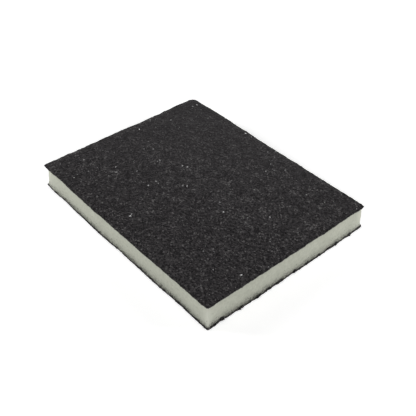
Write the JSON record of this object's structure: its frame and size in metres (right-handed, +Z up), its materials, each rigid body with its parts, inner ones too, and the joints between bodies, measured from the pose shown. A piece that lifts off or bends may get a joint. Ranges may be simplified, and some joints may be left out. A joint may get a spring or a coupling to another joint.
{
  "type": "sanding sponge",
  "caption": "Thin rectangular foam hand pad with an abrasive grit coat on both broad faces, for sanding curved and flat work by hand.",
  "frame": {"origin": "middle of the lower working face, on the surface that the pad rests on", "axes": "+X along the long side, +Y along the short side, +Z up through the pad to the upper working face"},
  "size_m": [0.123, 0.096, 0.0135],
  "materials": {
    "foam": "matte",
    "grit": "matte"
  },
  "bodies": {
    "root": {"foam_core": "foam", "upper_grit_coat": "grit", "lower_grit_coat": "grit"}
  },
  "joints": []
}
